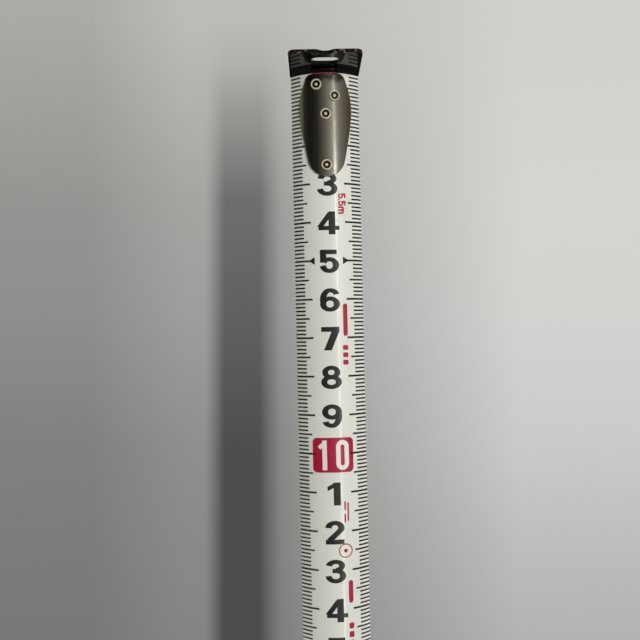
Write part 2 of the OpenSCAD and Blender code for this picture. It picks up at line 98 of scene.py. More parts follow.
HOOK_LOW, HOOK_HIGH = corners("hook")
CREST_Z = corners("blade")[0][2]
BLADE_HALF = corners("blade")[1][1]
CASE_FRONT = corners("case_shell_right", "case_shell_left")[1][0]
COIL_LOW, COIL_HIGH = corners("blade_coil")
GUIDE_BACK = corners("mouth_guide")[0][0]
REEL = np.array(joint("reel_spin")["pos_m"]) / MM
TRAVEL = abs(joint("blade_slide")["range_m"][0]) / MM

# Millimetres: places on the blade are counted back from the zero mark, or across it on the arc
BLADE_END = 1.25
BLADE_COLUMNS = 49
LEAD_STEPS = 18
LEAD_X = GUIDE_BACK - 2
COIL_INNER = 18.6
COIL_LAPS = 36
INK_LIFT = 0.018
BOX_LIFT = 0.012
FIRST_TICK = 2
FIGURE_HEIGHT = 5.9
TEN_PLACE = 100.3
TEN_HEIGHT = 7.7
SMALL_PLACE = 2.75
PLATE_START = 1.5
PLATE_END = 28.2
PLATE_GAP = 0.02
PLATE_CURVES = (((1.5, 3.5), (1.65, 4.7), (2.5, 5.2), (3.6, 5.5)),
                ((3.6, 5.5), (5.6, 6.2), (7.8, 6.95), (10.8, 6.95)),
                ((10.8, 6.95), (14.6, 6.95), (20, 5.7), (24, 4.9)),
                ((24, 4.9), (26, 4.5), (28.2, 2.8), (28.2, 0.3)))
RIVETS = ((4.4, -2.2), (7.4, 2.3), (12.1, 0.0), (25.3, 0.0))
SHANK_RADIUS = 0.75
GROOVE_OUT = 0.94
GROOVE_IN = 0.46
BRIDGE_RISE = 3.9
NECK_HALF = 3.5
NOTCH_HALF = 2.3
NOTCH_DEPTH = 0.95
EAR_START = 4.6
SLOT_DROP = 4.45
SLOT_HALF = (3.6, 1.95)
RIB_STEP = 2.9

# The view: turns in degrees and a place in the blade's own axes, across, along and away from the camera
VIEW_TILT = (-0.504, -0.82, -1.266)
VIEW_PLACE = (-5.0, 66.80, 165.61)
VIEW_LENS = 36.06


# ---- sizes and colours that a user would change ----
def length(name, text, value):
    """A size that a user can change, given in metres."""
    return FloatProperty(name=name, description=text, default=value, min=0.0, unit="LENGTH", subtype="DISTANCE")


def colour(name, text, value):
    """A colour that a user can change."""
    return FloatVectorProperty(name=name, description=text, default=value, size=3, min=0, max=1, subtype="COLOR")


class TapeSizes(bpy.types.PropertyGroup):
    """Sizes that the frame's boxes don't give."""
    blade_radius: length("Blade curve", "Radius of the blade's cross-section, convex face", 14.4 * MM)
    blade_thickness: length("Blade thickness", "Steel with its coat", 0.15 * MM)
    hook_sheet: length("Hook sheet", "Thickness of the hook's sheet", 0.9 * MM)
    plate_sheet: length("Plate sheet", "Thickness of the backing plate", 0.5 * MM)
    rivet_radius: length("Rivet head", "Radius of a rivet's head", 1.4 * MM)
    tick_short: length("Millimetre tick", "Length of a millimetre tick", 3.0 * MM)
    tick_half: length("Half-centimetre tick", "Length of a 5 mm tick", 4.1 * MM)
    tick_long: length("Centimetre tick", "Length of a centimetre tick", 5.0 * MM)
    figure_height: length("Figure height", "Height of the centimetre figures", 6.05 * MM)
    slab: length("Table slab", "Thickness of the table top", 18 * MM)


class TapeColours(bpy.types.PropertyGroup):
    """Colours of the finishes."""
    coat: colour("Blade coat", "Off-white coat of the blade", (0.80, 0.815, 0.775))
    ink: colour("Black ink", "Ink of ticks and figures", (0.014, 0.014, 0.012))
    crimson: colour("Crimson ink", "Ink of the ten box and the small marks", (0.38, 0.008, 0.045))
    plate: colour("Plate", "Polished dark nickel", (0.5, 0.475, 0.41))
    hook: colour("Hook", "Gloss black coat", (0.006, 0.006, 0.006))
    brass: colour("Rivet", "Pale nickel brass", (0.86, 0.80, 0.62))
    shell: colour("Shell", "Moulded case", (0.028, 0.03, 0.034))
    rubber: colour("Rubber", "Grips and bumper", (0.012, 0.012, 0.013))
    lock: colour("Lock", "Crimson lock button", (0.36, 0.01, 0.045))
    steel: colour("Steel", "Nickel-plated steel", (0.58, 0.58, 0.57))
    table: colour("Table", "Pale table top", (0.78, 0.76, 0.73))


def sizes():
    return bpy.context.scene.tape_sizes


def colours():
    return bpy.context.scene.tape_colours


# ---- shader maths ----
class Value:
    """A socket that reads as a number, so that maths on it is written as maths."""

    def __init__(self, recipe, socket):
        self.recipe = recipe
        self.socket = socket

    def maths(self, operation, *others):
        sockets = {f"i{k}": item for k, item in enumerate((self,) + others)}
        return Value(self.recipe, self.recipe.add("Math", {"operation": operation}, **sockets).outputs[0])

    def __add__(self, other):
        return self.maths("ADD", other)

    def __sub__(self, other):
        return self.maths("SUBTRACT", other)

    def __rsub__(self, other):
        return (self * -1.0) + other

    def __mul__(self, other):
        return self.maths("MULTIPLY", other)

    def __truediv__(self, other):
        return self.maths("DIVIDE", other)

    __radd__ = __add__
    __rmul__ = __mul__

    def above(self, edge, soft):
        """0 below the edge and 1 above it, with a smooth change over twice soft."""
        node = self.recipe.add("MapRange", {"interpolation_type": "SMOOTHSTEP"}, Value=self, From_Min=edge - soft,
                               From_Max=edge + soft)
        return Value(self.recipe, node.outputs[0])


class Recipe:
    """A node tree being written: any node comes from add, and the rest are shorthands for common ones."""

    def __init__(self, tree):
        self.tree = tree
        tree.nodes.clear()

    def feed(self, item, socket):
        """Gives a socket a link or a plain value."""
        link = item.socket if isinstance(item, Value) else item
        if isinstance(link, bpy.types.NodeSocket):
            self.tree.links.new(link, socket)
        else:
            socket.default_value = item

    def add(self, kind, settings=None, **values):
        """A node with its settings, or a ramp's (place, level) stops, and then its sockets, by name or as i0, i1."""
        node = self.tree.nodes.new("ShaderNode" + kind)
        for key, value in (settings or {}).items():
            if key == "stops":
                marks = node.color_ramp.elements
                for k, (place, level) in enumerate(value):
                    mark = marks[k] if k < 2 else marks.new(place)
                    mark.position = place
                    mark.color = (level, level, level, 1)
            else:
                setattr(node, key, value)
        for key, value in values.items():
            numbered = key[0] == "i" and key[1:].isdigit()
            self.feed(value, node.inputs[int(key[1:]) if numbered else key.replace("_", " ")])
        return node

    def number(self, socket):
        return Value(self, socket)

    def axes(self, kind="Object"):
        """Coordinates as three numbers; Object coordinates are in metres."""
        split = self.add("SeparateXYZ", Vector=self.add("TexCoord").outputs[kind])
        return [self.number(split.outputs[k]) for k in range(3)]

    def noise(self, scale, detail=3.0, stretch=(1, 1, 1), rough=0.5):
        """Noise on Object coordinates, stretched by a Mapping node."""
        mapping = self.add("Mapping", Vector=self.add("TexCoord").outputs["Object"], Scale=stretch)
        node = self.add("TexNoise", Vector=mapping.outputs[0], Scale=scale, Detail=detail, Roughness=rough)
        return self.number(node.outputs["Fac"])

    def mix(self, share, a, b, blend="MIX"):
        """Colour between a and b."""
        return self.add("Mix", {"data_type": "RGBA", "blend_type": blend}, i0=share, i6=opaque(a),
                        i7=opaque(b)).outputs[2]

    def ramp(self, value, *stops):
        """A number read off straight lines between (place, level) stops."""
        return self.number(self.add("ValToRGB", {"stops": stops}, Fac=value).outputs[0])

    def bump(self, height, strength, distance):
        return self.add("Bump", Height=height, Strength=strength, Distance=distance).outputs[0]


def opaque(c):
    """A colour with its alpha, or a link as it is."""
    return c if isinstance(c, (Value, bpy.types.NodeSocket)) else (*tuple(c)[:3], 1.0)


def shade(c, k):
    """A colour made lighter or darker by a factor."""
    return tuple(min(1.0, x * k) for x in tuple(c)[:3])


def finish(name, write, **constants):
    """A material: write(recipe) gives what varies over the surface, and constants are set on the shader itself."""
    name = "tape_" + name
    made = bpy.data.materials.get(name)
    if made:
        return made
    made = bpy.data.materials.new(name)
    made.use_nodes = True
    recipe = Recipe(made.node_tree)
    shader = recipe.add("BsdfPrincipled")
    for key, value in constants.items():
        shader.inputs[key.replace("_", " ")].default_value = value
    for key, value in write(recipe).items():
        recipe.feed(value if isinstance(value, float) else opaque(value), shader.inputs[key.replace("_", " ")])
    recipe.add("OutputMaterial", Surface=shader.outputs[0])
    return made


def blade_coat():
    """Satin baked paint over steel: faint mottling, and fine rubbing marks along the blade."""
    def write(r):
        mottle = r.noise(60, 4)
        rub = r.noise(400, 3, (0.03, 1, 1))
        return {"Base_Color": r.mix(mottle.above(0.55, 0.25) * 0.35, colours().coat, shade(colours().coat, 0.92)),
                "Roughness": 0.26 + rub * 0.1,
                "Normal": r.bump(rub, 0.04, 0.00005)}
    return finish("blade_coat", write, Coat_Weight=1.0, Coat_Roughness=0.1, Specular_IOR_Level=0.5)


def print_ink(name):
    """Thin ink under the same clear coat, a little uneven."""
    tint, wear = {"black_ink": (colours().ink, 0.6), "crimson_ink": (colours().crimson, 0.25),
                  "white_ink": (shade(colours().coat, 1.04), 0.0)}[name]

    def write(r):
        patch = r.noise(900, 2)
        return {"Base_Color": r.mix(patch.above(0.5, 0.3) * wear, tint, shade(tint, 1.8)),
                "Roughness": 0.32 + patch * 0.12}
    return finish(name, write, Coat_Weight=0.4, Coat_Roughness=0.12)


def polished_plate():
    """Dark nickel over polished steel, with long grinding lines."""
    def write(r):
        lines = r.noise(700, 5, (0.02, 1, 1), 0.7)
        broad = r.noise(90, 2, (0.1, 1, 1))
        return {"Base_Color": r.mix(broad.above(0.5, 0.25), shade(colours().plate, 0.82), colours().plate),
                "Roughness": 0.11 + lines * 0.13,
                "Normal": r.bump(lines, 0.1, 0.00004)}
    return finish("polished_plate", write, Metallic=1.0)


def gloss_black():
    """Black gloss coat on the hook, rubbed through to bright metal along the lip's free edge."""
    def write(r):
        edge = 1 - r.axes()[2].above(HOOK_LOW[2] * MM + 0.00022, 0.00008)
        rubbed = r.noise(2200, 4, (1, 0.6, 1)).above(0.56, 0.03) * edge
        rubbed = rubbed * r.noise(300, 2).above(0.45, 0.08)
        return {"Base_Color": r.mix(rubbed, colours().hook, (0.55, 0.46, 0.36)),
                "Metallic": rubbed, "Roughness": 0.045 + rubbed * 0.3 + r.noise(300, 3) * 0.03}
    return finish("gloss_black", write, IOR=1.3)


def rivet_metal():
    """Pale plated brass with fine turning marks, and painted shade darkening the grooves."""
    def write(r):
        painted_groove_shade = r.number(r.add("Attribute", {"attribute_name": "groove"}).outputs["Fac"])
        metal = r.mix(r.noise(800, 3), colours().brass, shade(colours().brass, 0.82))
        # The groove attribute mixes the metal to near-black: painted shade in the rivet's recess.
        return {"Base_Color": r.mix(painted_groove_shade, metal, (0.015, 0.012, 0.008)), "Roughness": 0.1 + r.noise(1500, 2) * 0.06}
    return finish("rivet_metal", write, Metallic=0.35)


def moulded(name):
    """Injection-moulded plastic: spark-eroded grain, slight changes of gloss."""
    shell = colours().shell
    tint, rough, grain, depth = {
        "shell_plastic": (shell, 0.42, 1500, 0.28), "dark_plastic": (shade(shell, 0.7), 0.5, 900, 0.15),
        "lock_plastic": (colours().lock, 0.3, 1200, 0.12), "pale_plastic": ((0.72, 0.70, 0.64), 0.4, 700, 0.1),
        "fibre": ((0.62, 0.52, 0.36), 0.75, 2200, 0.5)}[name]

    def write(r):
        fine = r.noise(grain, 3)
        cloud = r.noise(40, 3)
        return {"Base_Color": r.mix(cloud, tint, shade(tint, 1.25)),
                "Roughness": rough + cloud * 0.1,
                "Normal": r.bump(fine, depth, 0.0001)}
    return finish(name, write)


def rubber():
    """Moulded rubber: soft grain and pale scuffs."""
    def write(r):
        scuff = r.noise(120, 5, (1, 1, 3)).above(0.66, 0.06)
        return {"Base_Color": r.mix(scuff * 0.35, colours().rubber, shade(colours().rubber, 4)),
                "Roughness": 0.62 + r.noise(60, 2) * 0.15,
                "Normal": r.bump(r.noise(1400, 3), 0.35, 0.00012)}
    return finish("rubber", write)


def brushed(name):
    """Metal with brush lines along one axis, which is the one that the noise is stretched on."""
    steel = colours().steel
    tint, stretch, rough = {"clip_steel": (steel, (1, 1, 0.03), 0.2),
                            "screw_steel": (shade(steel, 0.8), (0.3, 1, 0.3), 0.24),
                            "blued_steel": ((0.16, 0.18, 0.23), (1, 0.05, 1), 0.22)}[name]

    def write(r):
        lines = r.noise(900, 4, stretch, 0.65)
        return {"Base_Color": r.mix(lines, shade(tint, 0.85), shade(tint, 1.1)),
                "Roughness": rough + lines * 0.18,
                "Normal": r.bump(lines, 0.15, 0.00005)}
    return finish(name, write, Metallic=1.0)


def spun_metal():
    """The badge's metal, turned on a lathe: fine rings about the reel's axis, as the sine of the distance to it."""
    tint = (0.72, 0.73, 0.74)

    def write(r):
        x, y, z = r.axes()
        dx = x - REEL[0] * MM
        dz = z - REEL[2] * MM
        radius = (dx * dx + dz * dz).maths("SQRT")
        rings = (radius * 9000.0).maths("SINE") * 0.5 + 0.5
        grit = r.noise(600, 3)
        return {"Base_Color": r.mix(grit, shade(tint, 0.88), tint), "Roughness": 0.24 + grit * 0.14,
                "Normal": r.bump(rings * 0.6 + grit * 0.4, 0.18, 0.00004)}
    return finish("badge_metal", write, Metallic=1.0)


# ---- meshes from arrays ----
def quads(rows, cols, wrap_cols=False):
    """Faces of a grid of points, stored row by row."""
    i = np.arange(rows - 1)[:, None] * cols
    j = np.arange(cols if wrap_cols else cols - 1)[None, :]
    k = (j + 1) % cols
    return np.stack([i + j, i + k, i + cols + k, i + cols + j], axis=-1).reshape(-1, 4)


def rod(rings):
    """Faces of closed rings of points, row by row, with both ends closed."""
    rows, n = rings.shape[:2]
    end = list(range(n))
    return quads(rows, n, wrap_cols=True).tolist() + [end[::-1], [k + (rows - 1) * n for k in end]]


def points_of(mesh):
    """A mesh's points in millimetres."""
    co = np.zeros(len(mesh.vertices) * 3)
    mesh.vertices.foreach_get("co", co)
    return co.reshape(-1, 3) / MM


def placed(name, data):
    """An object for some data, linked to the scene."""
    obj = bpy.data.objects.new(name, data)
    bpy.context.scene.collection.objects.link(obj)
    return obj


def joined(parts):
    """Several (points, faces) as one."""
    points, faces, start = [], [], 0
    for p, f in parts:
        p = np.asarray(p, float).reshape(-1, 3)
        points.append(p)
        faces.extend((np.asarray(row) + start).tolist() for row in f)
        start += len(p)
    return np.concatenate(points), faces


def make_piece(name, parts, material, body, mend=True):
    """A mesh piece from (points in millimetres, faces) parts, riding on a body."""
    points, faces = joined(parts)
    mesh = bpy.data.meshes.new(name)
    mesh.from_pydata((points * MM).tolist(), [], faces)
    if mend:
        work = bmesh.new()
        work.from_mesh(mesh)
        bmesh.ops.remove_doubles(work, verts=work.verts, dist=1e-7)
        bmesh.ops.recalc_face_normals(work, faces=work.faces)
        work.to_mesh(mesh)
        work.free()
    mesh.polygons.foreach_set("use_smooth", [True] * len(mesh.polygons))
    mesh.set_sharp_from_angle(angle=math.radians(35))
    mesh.materials.append(material)
    obj = placed(name, mesh)
    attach(obj, body)
    return obj


# ---- the blade's own coordinates: s across on the arc, u back from the zero mark, all in millimetres ----
def zero_x():
    return HOOK_HIGH[0] - sizes().hook_sheet / MM


def on_blade(s, u, lift, under=True):
    """Points on the blade: x is the zero mark less u, and y and z go round the cross-section's arc by s."""
    radius = sizes().blade_radius / MM
    r = radius + lift if under else radius - sizes().blade_thickness / MM - lift
    s, u = np.broadcast_arrays(np.asarray(s, float), np.asarray(u, float))
    a = s / radius
    return np.stack([zero_x() - u, r * np.sin(a), CREST_Z + radius - r * np.cos(a)], axis=-1)


def faced(points, faces, under):
    """Turns a print's faces so that they point away from the blade."""
    p = np.asarray(points).reshape(-1, 3)
    q = p[faces[:, :3]]
    normal = np.cross(q[:, 1] - q[:, 0], q[:, 2] - q[:, 0])
    centre = q.mean(axis=1)
    outward = centre - np.array([0, 0, CREST_Z + sizes().blade_radius / MM])
    outward[:, 0] = 0
    if not under:
        outward = -outward
    wrong = (normal * outward).sum() < 0
    return p, faces[:, ::-1] if wrong else faces


def printed(s, u, lift, under=True):
    """A grid of (s, u) laid on the blade as a print."""
    s, u = np.broadcast_arrays(s, u)
    return faced(on_blade(s, u, lift, under), quads(*s.shape), under)


def patch(s0, s1, u0, u1, lift, under=True):
    """A rectangle of print, cut every third of a millimetre across."""
    n = max(2, int(abs(s1 - s0) / 0.35) + 2)
    s = np.linspace(s0, s1, n)[None, :]
    u = np.array([u0, u1])[:, None]
    return printed(s, u, lift, under)


def rounded_patch(cs, cu, half_s, half_u, corner, lift, under=True):
    """A rounded rectangle: each row of u is as wide as the corner's circle leaves it."""
    inset = corner * (1 - np.cos(np.linspace(0, math.pi / 2, 9)))
    v = np.concatenate([-half_u + inset, half_u - inset[::-1]])
    over = np.maximum(np.abs(v) - (half_u - corner), 0)
    width = half_s - corner + np.sqrt(np.maximum(corner ** 2 - over ** 2, 0))
    across = np.linspace(-1, 1, max(9, int(2 * half_s / 0.35)))
    return printed(cs + across[None, :] * width[:, None], cu + v[:, None], lift, under)


def stroke(path, flat, tall=None, cut=None, closed=False):
    """A ribbon along a path of (a, b) points: each point is moved to both sides along its normal. The width is flat
    where the path runs across and tall where it runs up and down, by the square of the direction's upright part.
    A cut direction takes the normal's place, and then sets how the ends are cut off."""
    path = np.asarray(path, float)
    if closed:
        way = np.roll(path[:-1], -1, axis=0) - np.roll(path[:-1], 1, axis=0)
        way = np.concatenate([way, way[:1]])
    else:
        way = np.gradient(path, axis=0)
    way /= np.linalg.norm(way, axis=1, keepdims=True)
    side = np.stack([-way[:, 1], way[:, 0]], axis=-1) if cut is None else np.array(cut, float) + 0 * way
    width = flat + ((flat if tall is None else tall) - flat) * way[:, 1] ** 2
    across = np.linspace(-0.5, 0.5, 5)
    return path[:, None, :] + (across[None, :] * width[:, None])[:, :, None] * side[:, None, :]


def arc(cx, cy, rx, ry, a0, a1, n=28):
    """Points of an ellipse from angle a0 to a1, in degrees."""
    a = np.radians(np.linspace(a0, a1, n))
    return np.stack([cx + rx * np.cos(a), cy + ry * np.sin(a)], axis=-1)


def line(x0, y0, x1, y1):
    """Points of a straight stretch, three to the millimetre."""
    n = max(3, int(math.hypot(x1 - x0, y1 - y0) * 3))
    return np.stack([np.linspace(x0, x1, n), np.linspace(y0, y1, n)], axis=-1)


def along(*stretches):
    """Stretches one after another, without their shared points."""
    return np.concatenate([stretches[0]] + [s[1:] for s in stretches[1:]])


def figure(digit, h_w=1.06, t_w=1.66):
    """Ribbons of one figure, standing on b = 0 and centred on a = 0; bars are h_w wide and stems t_w."""
    h = FIGURE_HEIGHT
    e = h_w / 2
    if digit == "0":
        return [stroke(arc(0, h / 2, 2.5 - t_w / 2, h / 2 - e, 0, 360, 49), h_w, t_w, closed=True)]
    if digit == "1":
        return [stroke(line(0.82, 0, 0.82, h - 0.15), t_w + 0.16),
                stroke(line(0.3, h - 0.72, -1.65, 4.15), h_w * 1.06, cut=(0, 1))]
    if digit == "2":
        hook = along(arc(0.05, 4.1, 1.62, h - e - 4.1, 180, -22, 30), line(1.55, 3.6, -1.5, 0.9))
        return [stroke(hook, h_w, t_w + 0.1), stroke(line(-2.4, e * 1.1, 2.42, e * 1.1), h_w * 1.12)]
    if digit == "3":
        return [stroke(arc(0, 4.35, 1.62, h - e - 4.35, 180, -88, 34), h_w, t_w),
                stroke(arc(0, 1.82, 1.84, 1.82 - e, 88, -180, 34), h_w, t_w), stroke(line(-0.85, 3.1, 0.2, 3.1), h_w)]
    if digit == "4":
        return [stroke(line(1.02, 0, 1.02, h - 0.1), t_w + 0.07), stroke(line(-2.5, 1.62, 2.95, 1.62), h_w),
                stroke(line(0.72, h - 0.38, -2.08, 1.95), h_w * 1.5, cut=(1, 0))]
    if digit == "5":
        return [stroke(line(-2.25, h - e * 1.1, 2.1, h - e * 1.1), h_w * 1.08),
                stroke(line(-1.46, h, -1.46, 2.65), t_w),
                stroke(arc(0.12, 2.0, 1.68, 2.0 - e, 148, -176, 38), h_w, t_w)]
    if digit == "6":
        hook = along(arc(0.1, 4.3, 1.6, h - e - 4.3, 2, 90, 12), arc(0.1, h / 2, 1.82, h / 2 - e, 90, 190, 22))
        return [stroke(arc(0.06, 1.92, 1.76, 1.92 - e, 0, 360, 45), h_w, t_w, closed=True), stroke(hook, h_w, t_w)]
    if digit == "7":
        return [stroke(line(-2.4, h - e * 1.15, 2.35, h - e * 1.15), h_w * 1.15),
                stroke(line(1.42, 5.0, -0.77, 0), t_w * 1.22, cut=(1, 0))]
    if digit == "8":
        return [stroke(arc(0, 4.2, 1.58, h - e - 4.2, 0, 360, 41), h_w, t_w - 0.1, closed=True),
                stroke(arc(0, 1.76, 1.86, 1.76 - e, 0, 360, 45), h_w, t_w, closed=True)]
    return [np.array([0, h]) - g for g in figure("6", h_w, t_w)]


def slim_figure(digit, w, h, half):
    """Ribbons of a narrow figure for the ten box."""
    if digit == "1":
        return [stroke(line(0.35, 0, 0.35, h), w * 1.05), stroke(line(0.45, h - 0.62, -1.1, h - 2.0), w * 0.9)]
    straight = h - 2 * half
    right = half - w / 2
    return [stroke(along(arc(0, half + straight, right, half - w / 2, 0, 180, 25),
                         line(-right, half + straight, -right, half),
                         arc(0, half, right, half - w / 2, 180, 360, 25),
                         line(right, half, right, half + straight)), w, closed=True)]


def letter_m(w, h):
    """Ribbons of a small m: a stem and two arches, each with the stem that it runs down into."""
    top = h - 0.75
    return [stroke(line(-1.1, 0, -1.1, h), w)] + [
        stroke(along(arc(a - 0.55, top, 0.55, 0.6, 180, 0, 14), line(a, top, a, 0)), w) for a in (0, 1.1)]


def set_upright(ribbons, cs, cu, height, lift, tall=1):
    """Places figures on the convex face with their tops toward the hook, centred on (cs, cu)."""
    return [printed(cs + g[..., 0], cu + height / 2 - g[..., 1] * tall, lift) for g in ribbons]


def set_along(ribbons, cs, cu, lift, scale, under=True):
    """Places figures read along the blade: a runs back from the hook and b across."""
    return [printed(cs + g[..., 1] * scale[1], cu + g[..., 0] * scale[0], lift, under) for g in ribbons]


def last_mark():
    """The last whole millimetre before the guide's inner end."""
    return int(zero_x() - GUIDE_BACK) - 1


def squash_in(obj):
    """The strip and its print would run onto the reel by shortening toward the free end, so that the inner end stays
    at the coil as the blade slides; here the share that they would keep is worked out and not used, and the piece
    only gets its own mesh."""
    free_end = zero_x() - BLADE_END
    free_end * MM
    (free_end - REEL[0] - TRAVEL) / (free_end - REEL[0])
    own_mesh(obj)
    return obj


def print_piece(name, parts, ink):
    """A piece of print on the blade."""
    squash_in(make_piece(name, parts, print_ink(ink), "blade", mend=False))


def strip_points(rows, up):
    """The strip: flat at the reel, its arc grown by a smooth step up to the throat, and then straight.
    Each point goes from (s, its height over the lead) to its place on the arc by that step."""
    radius = sizes().blade_radius / MM
    rise = COIL_LOW[2] - CREST_Z - sizes().blade_thickness / MM - 0.02
    s = np.linspace(-BLADE_HALF, BLADE_HALF, BLADE_COLUMNS)[None, :]
    x = rows[:, None]
    k = np.clip(x / LEAD_X, 0, 1)
    t = k * k * (3 - 2 * k)
    r = radius - up
    a = s / radius
    y = (1 - t) * s + t * r * np.sin(a)
    z = CREST_Z + (1 - t) * (rise + up) + t * (radius - r * np.cos(a))
    return np.stack(np.broadcast_arrays(x, y, z), axis=-1)


class TAPE_OT_blade(bpy.types.Operator):
    """Build the curved steel strip outside the coil"""
    bl_idname = "tape.blade"
    bl_label = "Blade"

    def execute(self, context):
        """A closed ring at each x, out along the under side and back along the upper, with both ends closed."""
        rows = np.concatenate([np.linspace(0, LEAD_X, LEAD_STEPS), np.linspace(LEAD_X, zero_x() - BLADE_END, 30)[1:]])
        sheets = [strip_points(rows, up) for up in (0, sizes().blade_thickness / MM)]
        ring = np.concatenate([sheets[0], sheets[1][:, ::-1]], axis=1)
        n = ring.shape[1]
        j = np.arange(BLADE_COLUMNS - 1)
        start = np.stack([j, j + 1, n - 2 - j, n - 1 - j], axis=-1)
        faces = np.concatenate([quads(len(rows), n, wrap_cols=True), start, start + (len(rows) - 1) * n])
        obj = make_piece("blade_strip", [(ring, faces)], blade_coat(), "blade")
        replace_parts(squash_in(obj), "blade")
        return {"FINISHED"}


class TAPE_OT_scale(bpy.types.Operator):
    """Print the ticks and figures on both faces of the blade"""
    bl_idname = "tape.scale"
    bl_label = "Scale"

    def execute(self, context):
        for under in (True, False):
            self.ticks(BLADE_HALF, under)
        self.figures_under()
        self.figures_over()
        self.small_marks()
        return {"FINISHED"}

    def ticks(self, half, under):
        """Ticks run in from both edges: the length goes by whether the mark is a 5 or a 10."""
        parts = []
        z = sizes()
        for mark in range(FIRST_TICK, last_mark()):
            tall, wide = z.tick_short, 0.43
            if mark % 10 == 0:
                tall, wide = z.tick_long, 0.5
            elif mark % 5 == 0:
                tall, wide = z.tick_half, 0.44
            for side in (-1, 1):
                parts.append(patch(side * (half - 0.02), side * (half - tall / MM), mark - wide / 2,
                                   mark + wide / 2, INK_LIFT, under))
            if mark % 100 == 50 and under:
                parts += self.arrows(half, mark)
        print_piece("ticks_under" if under else "ticks_over", parts, "black_ink")

    def arrows(self, half, mark):
        """Arrowheads at the inner ends of the 50 mm ticks: their width grows in a straight line from the apex."""
        parts = []
        t = np.linspace(0, 1, 7)[None, :]
        side = np.linspace(-1, 1, 5)[:, None]
        for way in (-1, 1):
            parts.append(printed(way * (half - 4.2 - 1.6 * t), mark + side * t, INK_LIFT + 0.002))
        return parts

    def figures_under(self):
        """Centimetre figures stand upright with the hook at the top; after the ten box they start again."""
        h = sizes().figure_height / MM
        parts = []
        for k in range(3, last_mark() // 10 + 1):
            if k % 10:
                parts += set_upright(figure(str(k % 10)), 0, 10 * k + 0.22, h, INK_LIFT, h / FIGURE_HEIGHT)
        print_piece("figures_under", parts, "black_ink")
        print_piece("ten_box_under", [rounded_patch(0, TEN_PLACE, 5.35, 4.5, 1.15, BOX_LIFT)], "crimson_ink")
        parts = []
        for digit, place, bend in (("1", -2.55, 1.6), ("0", 2.45, 1.68)):
            parts += set_upright(slim_figure(digit, 1.15, TEN_HEIGHT, bend), place, TEN_PLACE, TEN_HEIGHT, INK_LIFT)
        print_piece("ten_figures_under", parts, "white_ink")

    def figures_over(self):
        """On the hollow face the figures are read along the blade, with the hook to the left."""
        parts = []
        for k in range(4, last_mark() // 10 + 1):
            text = str(k)
            for n, digit in enumerate(text):
                place = 10 * k - 1.2 - 3.6 * (len(text) - n - 0.5)
                parts += set_along(figure(digit), 2.0, place, INK_LIFT, (0.68, -0.68), False)
        print_piece("figures_over", parts, "black_ink")

    def small_marks(self):
        """Small crimson marks beside the figures: the length in metres, and plain bars and a ring."""
        c = SMALL_PLACE
        parts = [patch(-3.6, 3.6, BLADE_END + 0.02, 2.6, BOX_LIFT)]
        for place in (33.2, 35.15):
            parts += set_along(figure("5", 1.1, 1.7), c, place, INK_LIFT, (0.27, 0.345))
        parts.append(patch(c + 0.02, c + 0.45, 34.0, 34.4, INK_LIFT))
        parts += set_along(letter_m(0.72, 2.1), c, 36.95, INK_LIFT, (0.68, 0.68))
        ring = stroke(arc(0, 0, 1.7, 1.7, 0, 360, 41), 0.28, closed=True)
        bars = [(4.0, 65.4, 0.6, 4.2, 0.58)] + [(3.9, u, 0.72, 0.62, 0.3) for u in (72.6, 74.5, 76.4)]
        bars += [(2.8, u, 0.2, 1.1, 0.18) for u in (113.4, 116.6)] + [(3.6, 115, 0.2, 2.4, 0.18)]
        bars += [(c, 125, 0.5, 0.5, 0.48), (3.9, 135.6, 0.6, 2.9, 0.58)]
        bars += [(3.9, u, 0.66, 0.75, 0.35) for u in (144.4, 146.6, 148.8)]
        parts += [rounded_patch(*bar, INK_LIFT) for bar in bars]
        parts.append(printed(c + ring[..., 0], 125 + ring[..., 1], INK_LIFT))
        print_piece("crimson_marks", parts, "crimson_ink")


def plate_half(u):
    """Half width of the plate at u, read off four cubic curves: a rounded corner, the swell to the waist, the taper
    and the tip. A cubic's point at t is (1-t)^3 a + 3t(1-t)^2 b + 3t^2(1-t) c + t^3 d."""
    curves = np.array(PLATE_CURVES)
    t = np.linspace(0, 1, 25)[None, :, None]
    a, b, c, d = (curves[:, None, k] for k in range(4))
    path = ((1 - t) ** 3 * a + 3 * t * (1 - t) ** 2 * b + 3 * t ** 2 * (1 - t) * c + t ** 3 * d).reshape(-1, 2)
    return np.interp(u, path[:, 0], path[:, 1])


class TAPE_OT_plate(bpy.types.Operator):
    """Build the polished plate under the blade, with its edges rolled over"""
    bl_idname = "tape.plate"
    bl_label = "Backing plate"

    def execute(self, context):
        """Top and bottom sheets over u and a share of the half width; the top falls off by a quarter circle at the
        rim."""
        thick = sizes().plate_sheet / MM
        rim = 0.32
        t = np.linspace(0, 1, 81)
        u = PLATE_START + (PLATE_END - PLATE_START) * (0.5 - 0.5 * np.cos(math.pi * t))
        f = np.sin(np.linspace(-math.pi / 2, math.pi / 2, 41))
        half = np.maximum(plate_half(u), 0.02)[:, None]
        s = f[None, :] * half
        edge = np.minimum((1 - np.abs(f[None, :])) * half, np.minimum(u - PLATE_START, PLATE_END - u)[:, None])
        lift = thick * np.sqrt(1 - (1 - np.clip(edge / rim, 0, 1)) ** 2) * 0.92 + thick * 0.08
        top = on_blade(s, u[:, None], PLATE_GAP + lift)
        low = on_blade(s, u[:, None], PLATE_GAP)
        rows, cols = s.shape
        n = rows * cols
        grid = quads(rows, cols)
        border = np.concatenate([np.arange(cols), np.arange(1, rows) * cols + cols - 1,
                                 n - 2 - np.arange(cols - 1), np.arange(rows - 2, 0, -1) * cols])
        follow = np.roll(border, -1)
        skirt = np.stack([border, border + n, follow + n, follow], axis=-1)
        faces = np.concatenate([grid, grid[:, ::-1] + n, skirt])
        obj = make_piece("plate_polished", [(np.concatenate([top.reshape(-1, 3), low.reshape(-1, 3)]), faces)],
                         polished_plate(), "blade")
        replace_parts(obj, "backing_plate")
        return {"FINISHED"}


